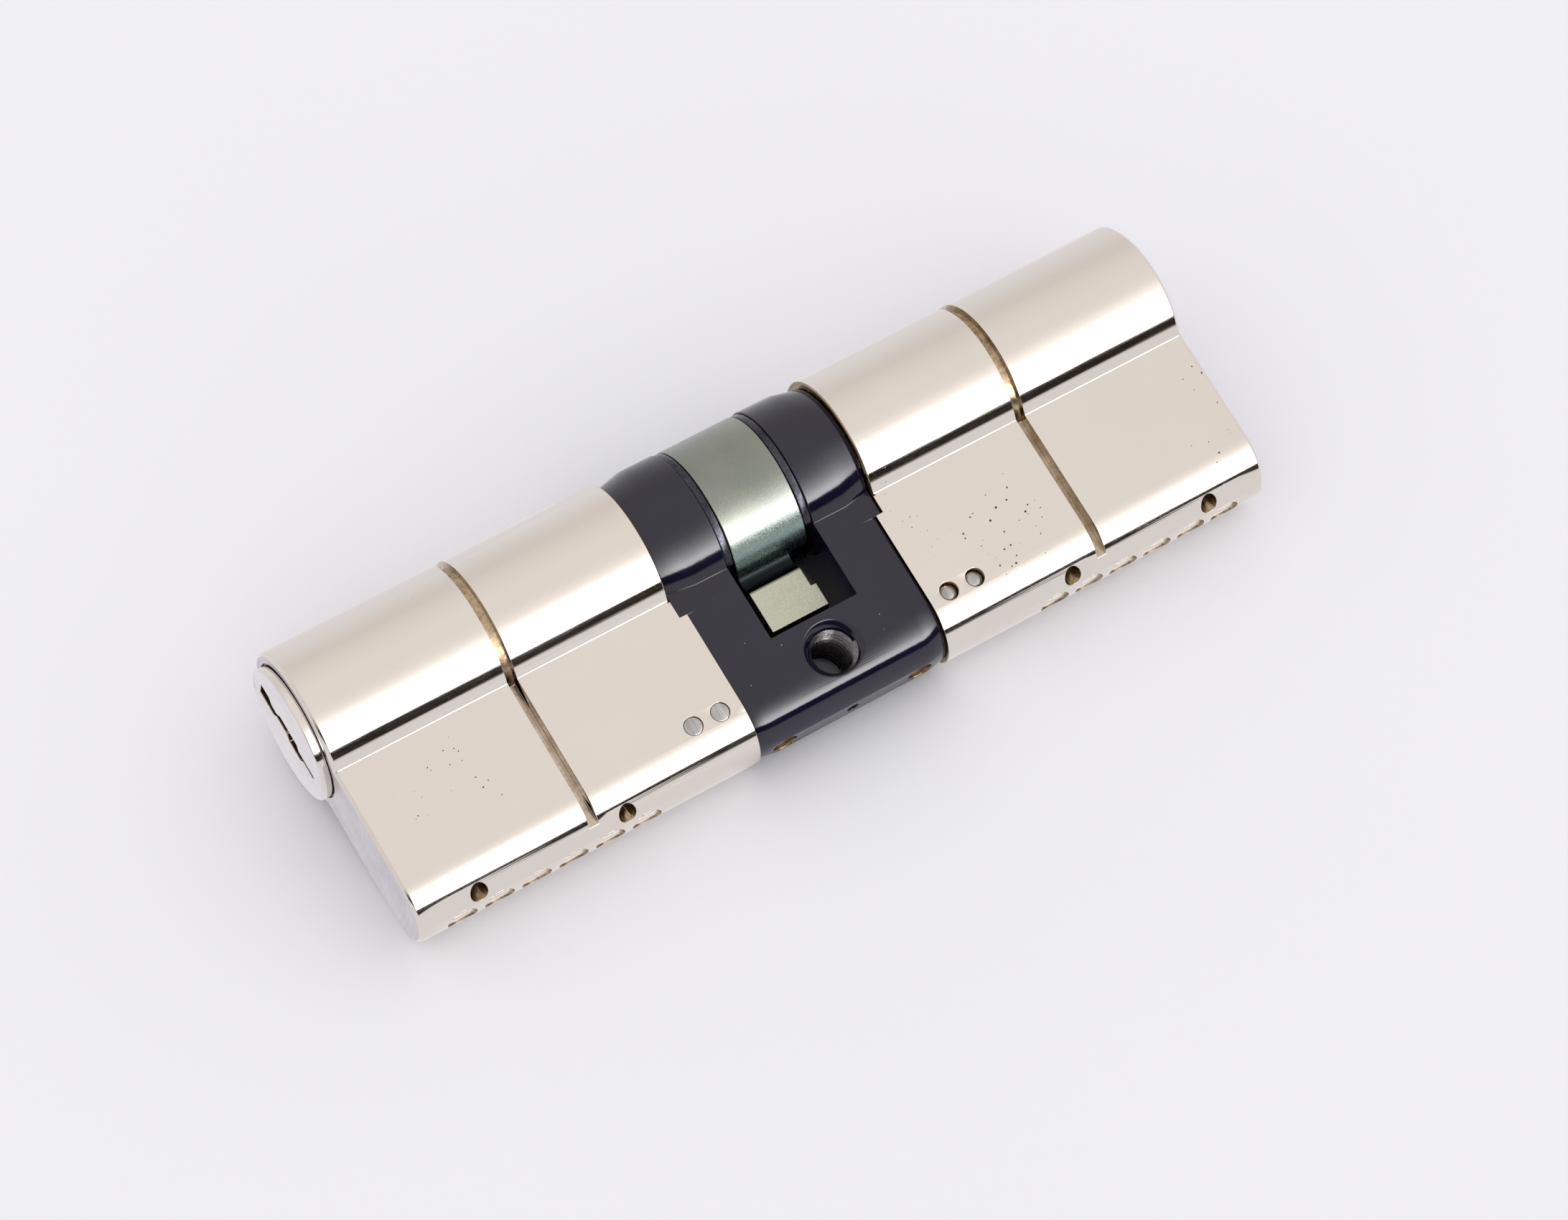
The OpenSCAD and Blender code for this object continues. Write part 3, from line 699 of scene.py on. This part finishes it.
def screwThread():  # ridges of the fixing screw's thread, on the wall of its hole
    look = threadLook
    pitch = look["pitch"]
    outer = bridgeLook["screwRadius"] + look["root"]
    inner = bridgeLook["screwRadius"] - look["crest"]
    turns = int(2 * look["reach"] / pitch)
    start = -turns * pitch / 2
    bm = bmesh.new()
    ridge = [(outer, -pitch * 0.45), (inner, -look["flat"] / 2)]
    ridge += [(radius, -along) for radius, along in reversed(ridge)]
    verts, edges = addLoop(bm, [(radius, start + along, 0) for radius, along in ridge])
    steps = turns * look["stepsPerTurn"]
    bmesh.ops.spin(bm, geom=verts + edges, cent=(0, 0, 0), axis=(0, 1, 0), angle=2 * math.pi * turns,
                   steps=steps, dvec=(0, pitch / look["stepsPerTurn"], 0))
    bmesh.ops.holes_fill(bm, edges=[e for e in bm.edges if e.is_boundary], sides=0)
    bmesh.ops.recalc_face_normals(bm, faces=bm.faces)
    for edge in bm.edges:
        edge.smooth = edge.calc_face_angle(0) < math.radians(20)
    piece = shape("thread", bm, threadSteel)
    return finishPiece(piece, "screwThread", "housing", "steel")


screwThread()


camLook = {
    "ringRadius": 8.3,
    "bore": 5.65,
    "noseHalf": 3.6,
    "neckRadius": 1.15,    # grooves between ring and nose
    "neckOut": 0.3,
    "neckBite": 0.05,
    "noseCut": 1.65,       # how much narrower the nose is than the ring
    "neckCut": 0.6,
    "noseFull": 3.0,
    "grooveDepth": 1.1,
    "grooveHalf": 1.55,
    "edge": 0.12,
}


def camPiece():
    look = camLook
    reach = axisZ - camLow.z
    ring = look["ringRadius"]
    half = look["noseHalf"]
    noseEnd = camHigh.x - look["noseCut"]
    top = -math.acos(half / ring)
    tip = math.asin(half / reach)

    def outline(x):
        points = arc((0, axisZ), ring, top, math.pi - top, 150)
        points += arc((0, axisZ), reach, 1.5 * math.pi - tip, 1.5 * math.pi + tip, 24)
        return [(x, y, z) for y, z in points]

    piece = shape("cam", loft([outline(camLow.x), outline(camHigh.x)]), zinc)
    below = axisZ - ring + 1.2
    past = shape("past", block((noseEnd, -half - 1, camLow.z - 1), (camHigh.x + 1, half + 1, below)), zinc)
    cut(past, rod(ring, noseEnd - 1, camHigh.x + 2, (0, 0, axisZ), steps=300))
    combineShapes(piece, past)
    neck = shape("neck", block((noseEnd - look["neckCut"], -half - 1, camLow.z + look["noseFull"]),
                               (camHigh.x + 1, half + 1, below)), zinc)
    cut(neck, rod(ring + 0.01, noseEnd - 3, camHigh.x + 2, (0, 0, axisZ), steps=300))
    combineShapes(piece, neck)
    out = half + look["neckOut"]
    down = math.sqrt((ring + look["neckRadius"] - look["neckBite"]) ** 2 - out ** 2)
    cut(piece, *[rod(look["neckRadius"], camLow.x - 1, camHigh.x + 1, (0, y, axisZ - down), steps=48)
                 for y in (-out, out)])
    cut(piece, rod(look["bore"], camLow.x - 1, camHigh.x + 1, (0, 0, axisZ), steps=96))
    deep = look["bore"] + look["grooveDepth"]
    cut(piece, block((camLow.x - 1, -deep, axisZ - look["grooveHalf"]),
                     (camHigh.x + 1, deep, axisZ + look["grooveHalf"])))
    roundEdges(piece, look["edge"], segments=3)
    return finishPiece(piece, "camRing", "cam", "zinc_passivate", "cam")


camPiece()


clipLook = {"inner": 4.85, "edge": 0.09}


def snapRing(side):
    low, high = boxOf("clip_b")
    outer = high.y
    ring = lathe([(low.x, clipLook["inner"]), (low.x, outer), (high.x, outer), (high.x, clipLook["inner"])],
                 (0, 0, axisZ), closed=True, steps=120)
    piece = shape("ring", ring, clipSteel)
    cut(piece, block((0, -clipLook["inner"], axisZ - 2 * outer), (high.x + 1, clipLook["inner"], axisZ)))
    roundEdges(piece, clipLook["edge"])
    mirrored(piece, side)
    return finishPiece(piece, f"snapRing_{side}", f"plug_{side}", "black_oxide", f"clip_{side}")


plugLook = {
    "radius": 6.3,
    "flangeRadius": 7.2,
    "bossRadius": 5.6,
    "grooveRadius": 4.8,
    "grooveFrom": 4.2,
    "grooveTo": 5.05,
    "flangeIn": 0.35,      # how deep the flange sits in the end face
    "keyHalf": 1.1,
    "keyTop": 5.6,
    "keyLow": -5.0,
    "jog": 0.79,
    "tipHalf": 1.2,
    "tipHeight": 2.4,
    "dogHalf": 1.55,
    "dogHeight": 4.05,
    "slotDepth": 1.9,
    "chamberTop": 2.25,
    "edge": 0.1,
}


def keywayOutline(x):
    look = plugLook
    w, top, low, jog = look["keyHalf"], look["keyTop"], look["keyLow"], look["jog"]
    points = [(-w, top), (w, top), (w, top * 0.52), (w - jog, top * 0.42), (w - jog, top * 0.05),
              (w, -0.3), (w, low * 0.5), (w - jog, low * 0.6), (w - jog, low), (-w + jog, low),
              (-w + jog, low * 0.4), (-w, low * 0.3), (-w, top * 0.3), (-w + jog, top * 0.42),
              (-w + jog, top * 0.62), (-w, top * 0.72)]
    return [(x, y, axisZ + z) for y, z in points]


def plugPiece(side):
    look = plugLook
    flangeX = endX - look["flangeIn"]
    low, high = boxOf(f"plug_{side}")
    outer = max(abs(low.x), abs(high.x))
    steps = [(plugLow.x, look["grooveFrom"], look["bossRadius"]),
             (look["grooveFrom"], look["grooveTo"], look["grooveRadius"]),
             (look["grooveTo"], flangeX, look["radius"]), (flangeX, outer, look["flangeRadius"])]
    outline = [point for x0, x1, radius in steps for point in ((x0, radius), (x1, radius))]
    body = lathe([(plugLow.x, 0)] + outline + [(outer, 0)], (0, 0, axisZ))
    piece = shape("plug", body, nickel)
    piece.data.materials.append(plugFace)
    for face in piece.data.polygons:
        face.material_index = 1 if face.normal.x > 0.9 and face.center.x > flangeX + 0.01 else 0
    keyFrom = chamberX[-1] - 2 * halfLook["chamberRadius"]
    cut(piece, loft([keywayOutline(keyFrom), keywayOutline(outer + 1)]), material=brass)
    slots = [(endX / 2, look["tipHalf"], look["tipHeight"]),
             (plugLow.x + look["slotDepth"], look["dogHalf"], look["dogHeight"])]
    for x, half, tall in slots:
        slot = block((plugLow.x - 1, -half, axisZ - tall), (x, half, axisZ + tall))
        cut(piece, slot, material=brass)
    cut(piece, *[rod(halfLook["chamberRadius"], axisZ - 2 * look["radius"], axisZ + look["chamberTop"],
                     (x, 0, 0), "z", 48) for x in chamberX], material=brass)
    roundEdges(piece, look["edge"])
    mirrored(piece, side)
    return finishPiece(piece, f"keyPlug_{side}", f"plug_{side}", "nickel_plate", f"plug_{side}")


for side in sides:
    snapRing(side)
    plugPiece(side)


finishes = {"clutch": steel, "link_bar": steel, "key_pin": brass, "driver": steel, "spring": springSteel}
for name, piece in nodes.items():
    for start, material in finishes.items():
        if name.startswith(start):
            piece.data.materials.clear()
            piece.data.materials.append(material)


studio = {
    "upward": Vector((0, -0.98376, 0.17949)),  # away from the surface that the cylinder lies on
    "surfaceAt": -5.054 * mm,
    "surfaceSize": 1.6,
    "paper": (0.885, 0.872, 0.912),
    "paperShade": (0.872, 0.860, 0.900),
    "paperFades": (0.11, 0.24),         # into the backdrop, this far from the origin
    "mirrored": (0.010, 0.013),         # beyond this |x|, metal sees the paper without shadows
    "backdrop": (0.875, 0.868, 0.905),
    "near": (0.93, 0.895, 0.875),       # the room straight above
    "side": (0.80, 0.755, 0.735),       # lower down
    "low": (0.85, 0.835, 0.855),        # and near the surface
    "softbox": 9.0,
    "gap": (0.022, 0.017, 0.013),
    "boxFrom": (0.305, 0.335),          # heights where the softbox starts, and fades out again
    "boxTo": (0.99, 0.42),
    "boxFade": 2.2,
    "gapFrom": (0.055, 0.10),
    "gapTo": (0.335, 0.305),
    "sideways": (0.0, 0.28),
    "boxLeft": (-0.30, 0.0),            # the softbox's two ends, along X
    "boxRight": (0.80, 0.50),
}


def surface():
    bm = bmesh.new()
    bmesh.ops.create_grid(bm, x_segments=1, y_segments=1, size=studio["surfaceSize"])
    tilt = studio["upward"].to_track_quat("Z", "X").to_matrix().to_4x4()
    place = Matrix.Translation(studio["upward"] * studio["surfaceAt"])
    bmesh.ops.transform(bm, matrix=place @ tilt, verts=bm.verts)
    material, tree, shader = newMaterial("paper")
    mottle = noise(tree, objectSpace(tree), 12, 2.0)
    shade = blendColour(tree, mottle, studio["paper"], studio["paperShade"])
    tree.links.new(shade, shader.inputs["Base Color"])
    shader.inputs["Roughness"].default_value = 0.9
    shader.inputs["Specular IOR Level"].default_value = 0
    geometry = node(tree, "ShaderNodeNewGeometry")
    clear = node(tree, "ShaderNodeBsdfTransparent")
    mixed = node(tree, "ShaderNodeMixShader")
    away = node(tree, "ShaderNodeVectorMath", operation="LENGTH")
    tree.links.new(objectSpace(tree), away.inputs[0])
    far = between(tree, away.outputs["Value"], *studio["paperFades"])
    tree.links.new(combine(tree, "MAXIMUM", geometry.outputs["Backfacing"], far), mixed.inputs["Fac"])
    split = node(tree, "ShaderNodeSeparateXYZ")
    tree.links.new(objectSpace(tree), split.inputs[0])
    aside = between(tree, combine(tree, "ABSOLUTE", split.outputs["X"], 0), *studio["mirrored"])
    path = node(tree, "ShaderNodeLightPath")
    direct = between(tree, path.outputs["Diffuse Depth"], 0.5, 0.4)
    direct = combine(tree, "MULTIPLY", path.outputs["Is Glossy Ray"], direct)
    plain = node(tree, "ShaderNodeEmission")
    plain.inputs["Color"].default_value = (*studio["low"], 1)
    seen = node(tree, "ShaderNodeMixShader")
    tree.links.new(combine(tree, "MULTIPLY", direct, aside), seen.inputs["Fac"])
    tree.links.new(shader.outputs["BSDF"], seen.inputs[1])
    tree.links.new(plain.outputs["Emission"], seen.inputs[2])
    tree.links.new(seen.outputs["Shader"], mixed.inputs[1])
    tree.links.new(clear.outputs["BSDF"], mixed.inputs[2])
    tree.links.new(mixed.outputs["Shader"], tree.nodes["Material Output"].inputs["Surface"])
    paper = shape("paper", bm, material)
    paper.visible_shadow = False


def dotWith(tree, vector, direction):
    made = node(tree, "ShaderNodeVectorMath", operation="DOT_PRODUCT")
    tree.links.new(vector, made.inputs[0])
    made.inputs[1].default_value = direction
    return made.outputs["Value"]


def lightRoom():  # a pale room, one big softbox low on one side and a dark gap under it
    world = bpy.data.worlds.new("studio")
    bpy.context.scene.world = world
    world.use_nodes = True
    world.cycles.sampling_method = "NONE"
    tree = world.node_tree
    direction = node(tree, "ShaderNodeTexCoord").outputs["Generated"]
    height = dotWith(tree, direction, studio["upward"])
    sideways = dotWith(tree, direction, studio["upward"].cross(Vector((-1, 0, 0))))
    towards = between(tree, sideways, *studio["sideways"])
    fade = combine(tree, "POWER", between(tree, height, *studio["boxTo"]), studio["boxFade"])
    box = combine(tree, "MULTIPLY", between(tree, height, *studio["boxFrom"]), fade)
    box = combine(tree, "MULTIPLY", box, towards)
    along = dotWith(tree, direction, (1, 0, 0))
    box = combine(tree, "MULTIPLY", box, between(tree, along, *studio["boxLeft"]))
    box = combine(tree, "MULTIPLY", box, between(tree, along, *studio["boxRight"]))
    gap = combine(tree, "MULTIPLY", between(tree, height, *studio["gapFrom"]),
                  between(tree, height, *studio["gapTo"]))
    gap = combine(tree, "MULTIPLY", gap, towards)
    colour = blendColour(tree, between(tree, height, 0.0, 0.4), studio["low"], studio["side"])
    colour = blendColour(tree, between(tree, height, 0.55, 0.95), colour, studio["near"])
    colour = blendColour(tree, box, colour, (studio["softbox"],) * 3)
    colour = blendColour(tree, gap, colour, studio["gap"])
    path = node(tree, "ShaderNodeLightPath")
    colour = blendColour(tree, path.outputs["Is Diffuse Ray"], colour, (1.0, 1.0, 1.0))
    colour = blendColour(tree, path.outputs["Is Camera Ray"], colour, studio["backdrop"])
    tree.links.new(colour, tree.nodes["Background"].inputs["Color"])


camera = {
    "place": Vector((-138.17, -434.20, -99.68)) * mm,
    "forward": Vector((0.29372, 0.92819, 0.22844)),
    "up": Vector((0.44350, -0.34403, 0.82762)),
    "lens": 106.54,
    "sensor": 36,
}


def makeCamera():
    data = bpy.data.cameras.new("camera")
    data.lens = camera["lens"]
    data.sensor_width = camera["sensor"]
    data.clip_start = 0.01
    data.clip_end = 10
    made = bpy.data.objects.new("camera", data)
    bpy.context.scene.collection.objects.link(made)
    right = camera["forward"].cross(camera["up"]).normalized()
    up = right.cross(camera["forward"]).normalized()
    turn = Matrix((right, up, -camera["forward"].normalized())).transposed()
    made.matrix_world = Matrix.Translation(camera["place"]) @ turn.to_4x4()
    bpy.context.scene.camera = made


surface()
lightRoom()
makeCamera()
bpy.context.scene.view_settings.view_transform = "Standard"
